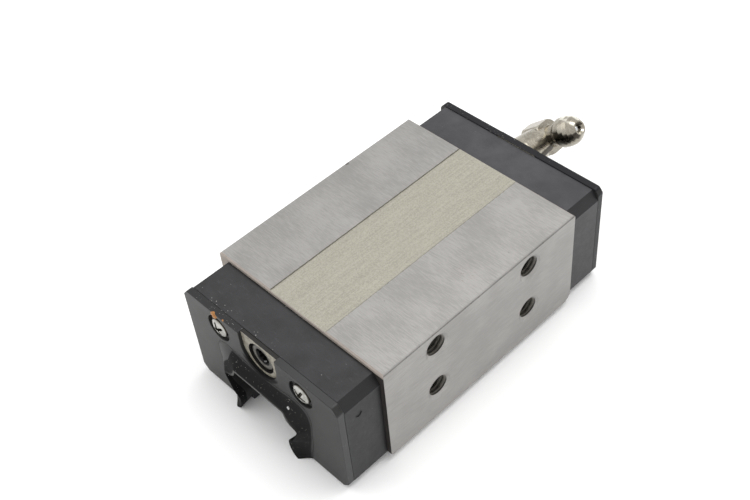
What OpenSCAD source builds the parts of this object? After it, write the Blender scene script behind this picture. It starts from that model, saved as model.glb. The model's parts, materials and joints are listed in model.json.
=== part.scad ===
// Recirculating-ball linear guide carriage, side-tapped block, size 20.
// Frame: X across the rail, +X towards the tapped mounting side; Y along the rail, -Y towards
// the plugged end and +Y towards the grease nipple; Z up. The origin lies on the rail's centre
// plane, midway along the block, in the plane of the steel block's underside.

/* [Steel block] */
// Width of the steel block across the rail
block_w = 43.5; // [43:0.1:44]
// Length of the steel block along the rail
block_l = 50.8; // [50:0.1:54]
// Height of the steel block
block_h = 23.36; // [23.2:0.02:24]
// Half width of the unground strip along the top
strip_half_w = 7.4; // [5:0.1:9]
// Depth of the unground strip below the ground top faces
strip_depth = 0.15; // [0.1:0.05:0.4]
// Chamfer at the rear end of the block's underside
end_chamfer = 1.3; // [0.6:0.1:1.5]
// Chamfer on the block's other outer edges
edge_chamfer = 0.3; // [0.2:0.05:0.5]

/* [Side mounting holes] */
// Spacing of the side holes along the rail
hole_pitch_y = 25; // [22:0.5:30]
// Spacing of the side holes in height
hole_pitch_z = 11.5; // [11:0.1:12]
// Height of the upper side holes above the block's underside
hole_top_z = 19.36; // [19:0.02:19.6]
// Minor radius of the M5 side threads
hole_r = 2.1; // [2:0.05:2.1]
// Depth of the side threads
hole_depth = 6; // [4:0.5:6]

/* [Balls] */
// Ball diameter
ball_d = 3.175; // [3:0.025:3.175]
// Balls in one straight row
row_balls = 15; // [13:2:15]
// Balls in one end turn
turn_balls = 3; // [3:1:3]
// Radius of the end turns at the ball centres
turn_r = 3.15; // [3.1:0.01:3.2]
// Radius of the ball passages outside the load zone
passage_r = 1.75; // [1.7:0.01:1.78]

/* [Ends] */
// Length of one end plate along the rail
plate_l = 8.4; // [8:0.1:9]
// Half width of the end plates and end seals
plate_half_w = 20.7; // [20.4:0.1:21]
// Height of the end plates' top face
plate_top_z = 22.4; // [22.2:0.05:22.6]
// Height of the end plates' underside
plate_bottom_z = -0.96; // [-1.1:0.02:-0.9]
// Thickness of an end seal
seal_t = 1.5; // [1.3:0.1:1.7]
// Thickness of the steel core plate in an end seal
core_t = 0.9; // [0.7:0.1:1]
// How far the seal lips stand out from the seal face
lip_out = 1.7; // [1.2:0.1:2]
// How much higher the rear seal's rim stands than the front one's
rear_rim_rise = 0.3; // [0:0.05:0.4]

/* [Grease fittings] */
// Height of the grease ports
port_z = 18.5; // [18.2:0.1:18.8]
// Major radius of the M6 port thread
port_r = 3; // [3:0.1:3.1]
// Angle between the nipple's thread axis and its head axis
nipple_bend = 85; // [75:1:90]
// Angle of the nipple's head above the horizontal, turned about the thread
nipple_roll = 40; // [20:1:60]

/* [Hidden] */

$fn = 48;
eps = 0.02;          // overrun of a cutting shape past a face
gap = 0.05;          // running gap between pieces that only rest on each other

// Colours
steel = "#a9a59c";
resin = "#3b3c3f";
rubber = "#4b4c50";
core_paint = "#b9b39a";
nickel = "#b9b5a8";
bright = "#d8d8d4";
bearing_steel = "#c8ccd0";
cage_resin = "#e6e2d2";

// Derived places along the rail
block_end = block_l / 2;
plate_end = block_end + plate_l;
seal_end = plate_end + seal_t;
core_end = plate_end + core_t;
lip_end = seal_end + lip_out;
retainer_l = block_l - 2 * gap;

// Outline of the end plates and seals: the chamfers at the top corners and at the foot
plate_chamfer_x = 1.5;
plate_chamfer_z = 2.1;
plate_foot = 1.3;

// Screws that hold the ends on
screw_x = 11.1;
screw_z = 18.5;
screw_r = 1.45;
screw_clearance_r = 1.6;
screw_recess_r = 2.9;
screw_grip = 8;      // how far a screw runs into the block

// The round notch in the end seals that frees the grease port
notch_half_w = 4.8;
notch_z = 19.3;
core_inset = 0.5;    // rubber round the edge of the core plate

// Ball circuits: [loaded row x, loaded row z, angle of the return row outwards from it]
upper_row = [9.2, 10.3, 45];
lower_row = [9.8, 5.0, -20];
ball_r = ball_d / 2;
groove_r = ball_r * 1.04;
path_l = 2 * block_l + 2 * PI * turn_r;
ball_pitch = path_l / (2 * row_balls + 2 * turn_balls);
turn_step = ball_pitch / turn_r * 180 / PI;

// Grease nipple, with distances along the head's axis counted from the thread's axis
nipple_seat = core_end + gap;
elbow_y = 43;
hex_back = 3.4;      // how far the hexagon reaches behind the thread's axis
hex_front = 1.9;     // how far the hexagon reaches in front of it
neck_end = 5.2;
head_r = 3.15;
head_side_end = 7.2;
tip_end = 10.4;
cavity_r = 1.25;
cavity_start = 4.4;
seat_s = 9.35;
tip_hole_r = 0.8;
check_r = 1.1;
check_s = seat_s - sqrt(check_r * check_r - tip_hole_r * tip_hole_r) - eps;

// The block's inside, right half, from the ceiling down to the leg's foot
channel_top = 12.6;
channel_half = [
    [8.5, channel_top], [10.9, 10.2], [10.9, 8.8], [11.2, 8.7], [11.2, 4.8], [9.4, 3.0],
    [9.4, -1]
];
// The end plates' opening, right half, a clearance outside the rail
plate_half = [
    [7.3, 11.75], [8.6, 9.5], [10.35, 8.2], [10.35, 7.5], [9.3, 5.8], [8.4, 3.6], [7.3, 3.3],
    [7.3, -2]
];

// The seal lip, right half, from the arch's top corner down to the foot of the hook.
// The edge follows the rail, the root is an arch in the seal's face, and the throat is the
// opening on the inner side.
lip_corner_z = 10.9;
lip_corner_x = 9.3;
lip_arc = [180, 202, 225, 248, 270];
function around(x, z, r, a) = [x + r * cos(a), z + r * sin(a)];
lip_edge = concat(
    [[6.2, 11.0]],
    [for (a = lip_arc) around(lip_corner_x, lip_corner_z, 2.55, a)],
    [[9.9, 8.0], [9.9, 7.5], [9.0, 5.5], [8.1, 3.4], [7.0, 3.0], [6.75, 2.0], [6.9, 0.6],
     [7.6, -1.0], [8.6, -1.75]]
);
root_arc = [90, 72, 54, 36, 18, 0];
lip_root = concat(
    [for (a = root_arc) around(7.6, 11.0, 3.4, a)],
    [[11.0, 9.9], [11.0, 8.6], [11.0, 7.0], [11.0, 5.4], [11.0, 3.9], [11.0, 2.8], [11.0, 1.7],
     [11.0, 0.4], [11.0, -0.94]]
);
lip_throat = concat(
    [[6.4, 11.5]],
    [for (a = lip_arc) around(lip_corner_x + 0.1, lip_corner_z + 0.3, 2.2, a)],
    [[10.3, 8.45], [10.3, 7.4], [9.45, 5.5], [8.6, 3.85], [7.6, 3.4], [7.25, 2.2], [7.4, 0.5],
     [8.0, -0.7], [8.8, -2.6]]
);

// ---------- shared shapes ----------

// Lays a drawing in X and Z out along Y, from y1 to y2
module along_y(y1, y2) {
    translate([0, y2, 0])
        rotate([90, 0, 0])
            linear_extrude(height = y2 - y1) children();
}

// A round bar along Y
module bar_y(x, z, r, y1, y2) {
    translate([x, y2, z])
        rotate([90, 0, 0]) cylinder(r = r, h = y2 - y1);
}

// Shows its children on both sides of the rail's centre plane
module both_sides() {
    children();
    mirror([1, 0, 0]) children();
}

// Turns a front-end piece round to the rear
module at_end(rear) {
    if (rear) {
        mirror([0, 1, 0]) children();
    } else {
        children();
    }
}

function mirrored(half) = [for (i = [len(half) - 1:-1:0]) [-half[i][0], half[i][1]]];
function across(row) = [cos(row[2]), sin(row[2])];
function return_x(row) = row[0] + 2 * turn_r * across(row)[0];
function return_z(row) = row[1] + 2 * turn_r * across(row)[1];
function turn_middle(row) = [row[0], row[1]] + turn_r * across(row);

// Places its children at the middle of a turn: X towards the return row, Y along the rail
module at_turn(row, y) {
    translate([turn_middle(row)[0], y, turn_middle(row)[1]])
        rotate([0, -row[2], 0]) children();
}

// The ring-shaped ball passage of one turn
module turn_passage(r) {
    rotate_extrude($fn = 96)
        translate([turn_r, 0]) circle(r = r);
}

// ---------- steel block ----------

module block_profile() {
    w = block_w / 2;
    c = edge_chamfer;
    polygon(concat(
        [[-w, 0], [-w, block_h - c], [-w + c, block_h]],
        [[-strip_half_w, block_h], [-strip_half_w, block_h - strip_depth]],
        [[strip_half_w, block_h - strip_depth], [strip_half_w, block_h]],
        [[w - c, block_h], [w, block_h - c], [w, 0]],
        [for (i = [len(channel_half) - 1:-1:0]) [channel_half[i][0], max(channel_half[i][1], 0)]],
        [for (p = channel_half) [-p[0], max(p[1], 0)]]
    ));
}

// A blind side hole with a 120 degree countersink and a drill point
module side_hole(y, z) {
    mouth_r = 2.9;
    mouth_l = (mouth_r - hole_r) / tan(60);
    tip_l = 1.2;
    translate([block_w / 2, y, z])
        rotate([0, -90, 0]) {
            translate([0, 0, -1]) cylinder(r = hole_r, h = hole_depth + 1);
            translate([0, 0, hole_depth - eps]) cylinder(r1 = hole_r, r2 = 0, h = tip_l);
            translate([0, 0, -mouth_l])
                cylinder(r1 = 2 * mouth_r - hole_r, r2 = hole_r, h = 2 * mouth_l);
        }
}

// A wedge that breaks an edge of the block's end faces across its whole width
module end_wedge(y, z, size) {
    translate([0, y, z])
        rotate([45, 0, 0])
            cube([block_w + 2, size * sqrt(2), size * sqrt(2)], center = true);
}

module carriage_block() {
    screw_hole_r = 1.5;
    screw_hole_l = screw_grip + 2;
    color(steel) difference() {
        along_y(-block_end, block_end) block_profile();
        both_sides() for (row = [upper_row, lower_row]) {
            bar_y(row[0], row[1], groove_r, -block_l, block_l);
            bar_y(return_x(row), return_z(row), passage_r, -block_l, block_l);
        }
        for (y = [-1, 1], z = [0, 1])
            side_hole(y * hole_pitch_y / 2, hole_top_z - z * hole_pitch_z);
        for (rear = [false, true])
            at_end(rear) both_sides()
                bar_y(screw_x, screw_z, screw_hole_r, -block_end - 1, -block_end + screw_hole_l);
        end_wedge(-block_end, 0, edge_chamfer);
        end_wedge(block_end, 0, end_chamfer);
        for (y = [-block_end, block_end]) end_wedge(y, block_h, edge_chamfer);
    }
}

// ---------- end plates and return guides ----------

// The ends' outline, drawn in by inset, with a raised tab as wide as the seals' notch
module end_outline(inset = 0, rise = 0, tab = 0) {
    w = plate_half_w - inset;
    top = plate_top_z - inset + rise;
    low = plate_bottom_z + inset;
    tab_points = tab > 0 ? [
        [-notch_half_w, top], [-notch_half_w, top + tab], [notch_half_w, top + tab], [notch_half_w, top]
    ] : [];
    polygon(concat(
        [[-w + plate_foot, low], [-w, low + plate_foot], [-w, top - plate_chamfer_z]],
        [[-w + plate_chamfer_x, top]],
        tab_points,
        [[w - plate_chamfer_x, top], [w, top - plate_chamfer_z], [w, low + plate_foot]],
        [[w - plate_foot, low]]
    ));
}

// Half-round spool with its web, for one side; grow widens it into its pocket
module guide_shape(grow) {
    spool_half_w = 2.5;
    web_half_w = 0.6;
    web_l = 1.6;
    for (row = [upper_row, lower_row])
        at_turn(row, -block_end)
            intersection() {
                cylinder(r = turn_r + grow, h = 2 * (spool_half_w + grow), center = true);
                translate([0, -turn_r - gap + grow, 0])
                    cube([4 * turn_r, 2 * turn_r, 4 * turn_r], center = true);
            }
    high = turn_middle(upper_row);
    low = turn_middle(lower_row);
    tilt = atan2(low[0] - high[0], high[1] - low[1]);
    reach = norm(high - low);
    translate([(high[0] + low[0]) / 2, -block_end - gap - web_l / 2, (high[1] + low[1]) / 2])
        rotate([0, -tilt, 0])
            cube([2 * (web_half_w + grow), web_l + 2 * grow, reach], center = true);
}

// Cast plate that turns the balls round, with grease channels from the port to both sides
module end_plate(rear) {
    mark_r = 0.75;       // round moulding mark on one side
    mark_depth = 0.15;
    mark_y = 5.4;
    mark_z = 17.5;
    port_wall = 2;       // left between the port's thread and the block
    channel_w = 1.6;
    channel_t = 1;
    channel_z = 14.2;
    feed_start = 3;      // where the feed down from the port begins, counted from the block
    color(resin) at_end(rear) difference() {
        along_y(-plate_end, -block_end) end_outline();
        along_y(-plate_end - 1, -block_end + 1)
            polygon(concat(plate_half, mirrored(plate_half)));
        both_sides() {
            for (row = [upper_row, lower_row])
                at_turn(row, -block_end) turn_passage(passage_r);
            guide_shape(gap);
            bar_y(screw_x, screw_z, screw_clearance_r, -plate_end - 1, -block_end + 1);
        }
        bar_y(0, port_z, port_r, -plate_end - 1, -block_end - port_wall);
        translate([-channel_w / 2, -block_end - feed_start, channel_z])
            cube([channel_w, feed_start + 1, port_z - channel_z]);
        translate([-screw_x, -block_end - channel_t, channel_z])
            cube([2 * screw_x, channel_t + 1, channel_w]);
        translate([rear ? -plate_half_w : plate_half_w, -block_end - mark_y, mark_z])
            rotate([0, 90, 0]) cylinder(r = mark_r, h = 2 * mark_depth, center = true);
    }
}

module return_guide(rear, left) {
    at_end(rear) mirror([left ? 1 : 0, 0, 0])
        color(cage_resin) difference() {
            guide_shape(0);
            for (row = [upper_row, lower_row])
                at_turn(row, -block_end) turn_passage(passage_r);
        }
}

// ---------- end seals ----------

// A closed skin between two left-right symmetric rings, given by their right halves, each
// running strictly downwards
module loft(half_a, y1, half_b, y2) {
    m = len(half_a);
    n = 2 * m;
    points = concat(
        [for (p = concat(half_a, mirrored(half_a))) [p[0], y1, p[1]]],
        [for (p = concat(half_b, mirrored(half_b))) [p[0], y2, p[1]]]
    );
    sides = [for (i = [0:n - 1]) each [
        [i, n + (i + 1) % n, (i + 1) % n], [i, n + i, n + (i + 1) % n]
    ]];
    front = [for (i = [0:m - 2]) [i, i + 1, n - 2 - i, n - 1 - i]];
    back = [for (f = front) [n + f[3], n + f[2], n + f[1], n + f[0]]];
    polyhedron(points, concat(sides, front, back));
}

function moved(half, dx, dz) = [for (p = half) [p[0] + dx, p[1] + dz]];

// Rubber seal with its flared lip, moulded over the core plate
module end_seal(rise) {
    lip_wall = 0.3;      // thickness of the lip at its edge
    color(rubber) difference() {
        union() {
            along_y(-seal_end, -plate_end) end_outline(rise = rise);
            loft(moved(lip_edge, lip_wall, lip_wall), -lip_end, lip_root, -seal_end + 0.1);
        }
        loft(lip_edge, -lip_end - eps, lip_throat, -plate_end + eps);
        along_y(-core_end, -plate_end + 1) core_outline(core_inset - gap, rise);
        along_y(-seal_end - 1, -core_end + 1) notch_outline(rise);
        both_sides() bar_y(screw_x, screw_z, screw_recess_r, -seal_end - 1, -plate_end + 1);
    }
}

module notch_outline(rise) {
    translate([0, notch_z]) circle(r = notch_half_w);
    translate([-notch_half_w, notch_z]) square([2 * notch_half_w, plate_top_z - notch_z + rise + 1]);
}

// The core plate's outline: the ends' outline drawn in, above a square arch with round corners
module core_outline(inset, rise) {
    arch_half_w = 11.8;
    arch_z = 13.7;
    corner_r = 2.5;
    below = 5;
    tab = inset * 0.75;
    difference() {
        end_outline(inset, rise, tab);
        translate([-arch_half_w, -below]) square([2 * arch_half_w, arch_z + below - corner_r]);
        translate([corner_r - arch_half_w, arch_z - corner_r - eps])
            square([2 * (arch_half_w - corner_r), corner_r + eps]);
        for (x = [-1, 1])
            translate([x * (arch_half_w - corner_r), arch_z - corner_r]) circle(r = corner_r);
    }
}

// Steel core plate of an end seal, bare inside the notch round the grease port
module seal_core(rise) {
    port_gap = 0.25;
    screw_hole_r = screw_clearance_r + 0.1;
    color(core_paint) difference() {
        along_y(-core_end + gap, -plate_end - gap) core_outline(core_inset, rise);
        bar_y(0, port_z, port_r + port_gap, -seal_end, -block_end);
        both_sides() bar_y(screw_x, screw_z, screw_hole_r, -seal_end, -block_end);
    }
}

// ---------- fasteners and plug ----------

// Cross recess, cut into a head whose top lies at z = 0
module cross_recess(reach, w, depth) {
    for (a = [0, 90])
        rotate([0, 0, a])
            translate([-reach / 2, -w / 2, -depth]) cube([reach, w, depth + 1]);
}

// Pan head screw with its head's underside at z = 0
module pan_screw(shank_l) {
    head_r = 2.35;
    head_h = 1.5;
    side_h = 0.6;
    dome_r = 4.0;
    recess_reach = 2.9;
    recess_w = 0.55;
    recess_depth = 0.9;
    difference() {
        union() {
            intersection() {
                cylinder(r = head_r, h = head_h);
                translate([0, 0, head_h - dome_r]) sphere(r = dome_r, $fn = 64);
            }
            cylinder(r = head_r, h = side_h);
            translate([0, 0, -shank_l]) cylinder(r = screw_r, h = shank_l + eps);
        }
        translate([0, 0, head_h]) cross_recess(recess_reach, recess_w, recess_depth);
    }
}

// The two screws of one end
module end_screws(rear) {
    shank_l = core_end - block_end + screw_grip;
    color(bright) at_end(rear) both_sides()
        translate([screw_x, -core_end - gap, screw_z])
            rotate([90, 45, 0]) pan_screw(shank_l);
}

// Socket set screw that closes the front grease port
module front_port_plug() {
    plug_r = port_r - gap;
    plug_l = 5;
    sunk = 0.35;         // below the core plate's face
    plug_face = core_end - sunk;
    socket_af = 3;
    socket_r = socket_af / sqrt(3);
    socket_l = 2.6;
    mouth_l = 0.5;
    c = 0.45;
    color(nickel) translate([0, -plug_face, port_z])
        rotate([-90, 0, 0]) difference() {
            rotate_extrude() polygon([
                [0, 0], [plug_r - c, 0], [plug_r, c], [plug_r, plug_l - c], [plug_r - c, plug_l],
                [0, plug_l]
            ]);
            translate([0, 0, -1]) cylinder(r = socket_r, h = socket_l + 1, $fn = 6);
            translate([0, 0, -eps]) cylinder(r1 = socket_r + 0.2, r2 = socket_af / 2, h = mouth_l);
        }
}

// ---------- grease nipple ----------

// Places its children with Z along the head's axis, from the middle of the elbow
module along_head() {
    translate([0, elbow_y, port_z])
        rotate([0, 90 - nipple_roll, 0])
            rotate([nipple_bend - 90, 0, 0]) children();
}

// Elbow with its thread, collar, hexagon and ball-headed mouth
module nipple_body() {
    collar_r = 3.95;
    collar_l = 1.2;
    waist_r = 3.2;
    shank_l = 5.9;
    passage = 0.95;
    head_passage = 0.7;
    hex_af = 6.9;
    hex_round_r = hex_af / 2 + 0.35;
    c = 0.5;
    shoulder_r = 2.95;
    neck_r = 2.35;
    color(nickel) difference() {
        union() {
            translate([0, nipple_seat, port_z]) rotate([-90, 0, 0]) rotate_extrude() polygon([
                [0, -shank_l], [port_r - gap - c, -shank_l], [port_r - gap, c - shank_l],
                [port_r - gap, 0], [collar_r, 0], [collar_r, collar_l],
                [waist_r, elbow_y - nipple_seat - 1], [0, elbow_y - nipple_seat - 1]
            ]);
            along_head() intersection() {
                translate([0, 0, -hex_back])
                    rotate([0, 0, 30])
                        cylinder(r = hex_af / sqrt(3), h = hex_back + hex_front, $fn = 6);
                rotate_extrude() polygon([
                    [0, -hex_back - 1], [hex_round_r - c, -hex_back - 1], [hex_round_r, c - hex_back],
                    [hex_round_r, hex_front - c], [hex_round_r - c, hex_front + 1], [0, hex_front + 1]
                ]);
            }
            along_head() rotate_extrude() polygon([
                [0, 0], [shoulder_r, 0.5], [shoulder_r, hex_front - 0.4], [neck_r, hex_front + 0.4],
                [neck_r, 4.4], [head_r, neck_end + 0.6], [head_r, head_side_end], [3.0, 8.2],
                [2.65, 9.0], [2.15, 9.7], [1.5, tip_end], [0, tip_end]
            ]);
        }
        bar_y(0, port_z, passage, block_end, elbow_y + 1);
        along_head() rotate_extrude() polygon([
            [0, 0.2], [head_passage, 0.2], [head_passage, cavity_start], [cavity_r, cavity_start],
            [cavity_r, seat_s], [tip_hole_r, seat_s], [tip_hole_r, tip_end - 0.4],
            [1.3, tip_end + 0.1], [0, tip_end + 0.1]
        ]);
    }
}

module nipple_check_ball() {
    color(bearing_steel) along_head()
        translate([0, 0, check_s]) sphere(r = check_r);
}

// Coil spring between the cavity's floor and the check ball
module nipple_spring() {
    turns = 5;
    per_turn = 14;
    wire_r = 0.14;
    coil_r = 0.95;
    below_ball = 0.75;   // from the top turn to the ball's middle
    low = cavity_start + wire_r + eps;
    high = check_s - below_ball;
    steps = turns * per_turn;
    sides = 6;
    function centre(i) = [
        coil_r * cos(360 * i / per_turn),
        coil_r * sin(360 * i / per_turn),
        low + (high - low) * i / steps
    ];
    points = [for (i = [0:steps], k = [0:sides - 1])
        let (turn = 360 * i / per_turn, a = 360 * k / sides)
        centre(i) + wire_r * [cos(a) * cos(turn), cos(a) * sin(turn), sin(a)]];
    skin = [for (i = [0:steps - 1], k = [0:sides - 1])
        let (k2 = (k + 1) % sides)
        each [[i * sides + k, (i + 1) * sides + k, (i + 1) * sides + k2],
              [i * sides + k, (i + 1) * sides + k2, i * sides + k2]]];
    ends = [[for (k = [0:sides - 1]) k], [for (k = [sides - 1:-1:0]) steps * sides + k]];
    color(bearing_steel) along_head() polyhedron(points, concat(skin, ends));
}

// ---------- ball retainers and bottom seals ----------

// A moulded strip of the retainers' length
module strip(points) {
    along_y(-retainer_l / 2, retainer_l / 2) polygon(points);
}

module ball_clearance() {
    for (row = [upper_row, lower_row])
        bar_y(row[0], row[1], ball_r + 0.1, -block_l, block_l);
}

module upper_retainer() {
    color(cage_resin) difference() {
        strip([[-8.6, 11.75], [8.6, 11.75], [8.6, 12.2], [8.3, 12.5], [-8.3, 12.5], [-8.6, 12.2]]);
        both_sides() ball_clearance();
    }
}

module side_retainer() {
    color(cage_resin) difference() {
        strip([
            [10.2, 6.9], [10.5, 6.6], [11.15, 6.6], [11.15, 8.6], [10.85, 8.7], [10.3, 8.7], [10.2, 8.6]
        ]);
        ball_clearance();
    }
}

module lower_retainer() {
    color(cage_resin) difference() {
        strip([[7.5, 0.4], [9.35, 0.4], [9.35, 2.95], [8.9, 3.4], [8.5, 3.4], [7.5, 2.5]]);
        ball_clearance();
    }
}

module bottom_seal() {
    color(rubber)
        strip([[7.15, 0.3], [7.5, -0.85], [14.5, -0.85], [14.5, -gap], [8.0, -gap], [7.4, 0.32]]);
}

// ---------- ball circuits ----------

module straight_row(x, z) {
    color(bearing_steel) for (i = [0:row_balls - 1])
        translate([x, (i - (row_balls - 1) / 2) * ball_pitch, z]) sphere(r = ball_r);
}

module turn_row(row) {
    color(bearing_steel) at_turn(row, -block_end)
        for (i = [0:turn_balls - 1])
            rotate([0, 0, -90 + (i - (turn_balls - 1) / 2) * turn_step])
                translate([turn_r, 0, 0]) sphere(r = ball_r);
}

module loaded_balls(row) {
    straight_row(row[0], row[1]);
}

module return_balls(row) {
    straight_row(return_x(row), return_z(row));
}

module on_left() {
    mirror([1, 0, 0]) children();
}

carriage_block();
end_plate(false);  // front_end_plate
end_plate(true);  // rear_end_plate
end_seal(0);  // front_seal
at_end(true) end_seal(rear_rim_rise);  // rear_seal
seal_core(0);  // front_seal_core
at_end(true) seal_core(rear_rim_rise);  // rear_seal_core
end_screws(false);  // front_screws
end_screws(true);  // rear_screws
front_port_plug();
nipple_body();
nipple_check_ball();
nipple_spring();
upper_retainer();
side_retainer();  // right_side_retainer
on_left() side_retainer();  // left_side_retainer
lower_retainer();  // right_lower_retainer
on_left() lower_retainer();  // left_lower_retainer
bottom_seal();  // right_bottom_seal
on_left() bottom_seal();  // left_bottom_seal
return_guide(false, false);  // front_right_return_guide
return_guide(false, true);  // front_left_return_guide
return_guide(true, false);  // rear_right_return_guide
return_guide(true, true);  // rear_left_return_guide
loaded_balls(upper_row);  // right_upper_loaded_balls
return_balls(upper_row);  // right_upper_return_balls
turn_row(upper_row);  // right_upper_front_turn_balls
at_end(true) turn_row(upper_row);  // right_upper_rear_turn_balls
loaded_balls(lower_row);  // right_lower_loaded_balls
return_balls(lower_row);  // right_lower_return_balls
turn_row(lower_row);  // right_lower_front_turn_balls
at_end(true) turn_row(lower_row);  // right_lower_rear_turn_balls
on_left() loaded_balls(upper_row);  // left_upper_loaded_balls
on_left() return_balls(upper_row);  // left_upper_return_balls
on_left() turn_row(upper_row);  // left_upper_front_turn_balls
on_left() at_end(true) turn_row(upper_row);  // left_upper_rear_turn_balls
on_left() loaded_balls(lower_row);  // left_lower_loaded_balls
on_left() return_balls(lower_row);  // left_lower_return_balls
on_left() turn_row(lower_row);  // left_lower_front_turn_balls
on_left() at_end(true) turn_row(lower_row);  // left_lower_rear_turn_balls
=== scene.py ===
import json
import math

import bmesh
import bpy
from mathutils import Matrix, Vector
from mathutils.geometry import tessellate_polygon


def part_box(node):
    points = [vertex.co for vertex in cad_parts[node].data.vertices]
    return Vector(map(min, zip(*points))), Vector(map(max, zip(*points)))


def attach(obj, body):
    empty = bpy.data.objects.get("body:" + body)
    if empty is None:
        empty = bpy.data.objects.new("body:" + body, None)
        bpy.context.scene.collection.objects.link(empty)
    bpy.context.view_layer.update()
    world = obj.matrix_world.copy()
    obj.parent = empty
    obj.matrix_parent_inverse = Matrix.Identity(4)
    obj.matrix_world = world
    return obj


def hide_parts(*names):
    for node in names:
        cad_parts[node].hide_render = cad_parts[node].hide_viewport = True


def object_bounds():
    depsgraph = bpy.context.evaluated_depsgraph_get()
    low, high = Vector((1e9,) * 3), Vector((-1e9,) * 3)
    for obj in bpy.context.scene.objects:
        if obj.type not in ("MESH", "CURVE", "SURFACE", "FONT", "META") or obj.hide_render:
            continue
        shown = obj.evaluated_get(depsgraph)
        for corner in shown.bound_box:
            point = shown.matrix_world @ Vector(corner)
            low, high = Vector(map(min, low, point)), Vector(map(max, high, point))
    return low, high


MM = 0.001
BODY = "carriage"

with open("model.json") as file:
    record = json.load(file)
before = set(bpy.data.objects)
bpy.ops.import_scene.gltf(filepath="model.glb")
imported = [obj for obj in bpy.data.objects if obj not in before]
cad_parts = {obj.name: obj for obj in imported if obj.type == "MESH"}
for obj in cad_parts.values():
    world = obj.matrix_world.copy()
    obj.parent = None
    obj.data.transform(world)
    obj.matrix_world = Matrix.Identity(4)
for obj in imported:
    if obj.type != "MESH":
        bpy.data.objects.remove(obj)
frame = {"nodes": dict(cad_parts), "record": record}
cad_low, cad_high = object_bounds()
cad_nodes = frame["nodes"]


# ---------- places taken from the frame, in millimetres ----------

def box_mm(node):
    """Lowest and highest corner of a CAD node in millimetres."""
    low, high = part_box(node)
    return low / MM, high / MM


block_high = box_mm("carriage_block")[1]
plate_low, plate_high = box_mm("front_end_plate")
core_low = box_mm("front_seal_core")[0]
seal_low, seal_high = box_mm("front_seal")
rear_seal_high = box_mm("rear_seal")[1]
screws_low, screws_high = box_mm("front_screws")
plug_low, plug_high = box_mm("front_port_plug")

# How far the parts reach from the middle
BLOCK_END = block_high.y
BLOCK_HALF_W = block_high.x
BLOCK_TOP = block_high.z
PLATE_END = -plate_low.y
CORE_END = -core_low.y
LIP_END = -seal_low.y
STRIP_HALF_W = 7.4
PLATE_TOP_HALF_W = 19.2

# End seals: the sheet, the notch round the grease port and the recesses over the screws
SEAL_T = 1.5
SEAL_END = PLATE_END + SEAL_T
REAR_RIM_TOP = rear_seal_high.z
NOTCH_R = 4.8
NOTCH_Z = 19.3
RECESS_R = 2.9
FOOT_X = 11.0
FOOT_CUT = 1.3
LIP_WALL = 0.3

# Screws and plug
SCREW_Z = (screws_low.z + screws_high.z) / 2
SCREW_X = screws_high.x - (screws_high.z - screws_low.z) / 2
SCREW_SEAT = CORE_END + 0.05
SCREW_HEAD_R = (screws_high.z - screws_low.z) / 2 - 0.25
SCREW_HEAD_H = 1.0
SCREW_DOME_R = 4.0
PORT_Z = (plug_low.z + plug_high.z) / 2
PLUG_R = (plug_high.z - plug_low.z) / 2
NIPPLE_BEND_Y = 42.4

# Threads in the side holes
THREAD_PITCH = 0.8
THREAD_L = 5.5
HOLE_MOUNT = next(m for m in frame["record"]["mounts"] if m["name"] == "side_bolts")
HOLE_R = HOLE_MOUNT["dims"]["hole_r_mm"]
HOLE_SPACING = (HOLE_MOUNT["dims"]["spacing_x_mm"], HOLE_MOUNT["dims"]["spacing_y_mm"])
HOLE_MIDDLE = Vector(HOLE_MOUNT["pos_m"]) / MM
HOLES = [
    (HOLE_MIDDLE.y + a * HOLE_SPACING[0] / 2, HOLE_MIDDLE.z + b * HOLE_SPACING[1] / 2)
    for a in (-1, 1)
    for b in (-1, 1)
]

# Marks of use and painted glints. Those on the front are given by X and Z, and the stain on top by X and Y.
DAB = (-11.65, 21.5)
CRUMB = (-9.0, 22.3)
LIP_GLINT = (7.7, 12.4)
PLUG_GLINT = (0.1, 17.3)
STAIN = (16.3, 0.8)
NICK_Y = 7.3


# ---------- material kit ----------

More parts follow.
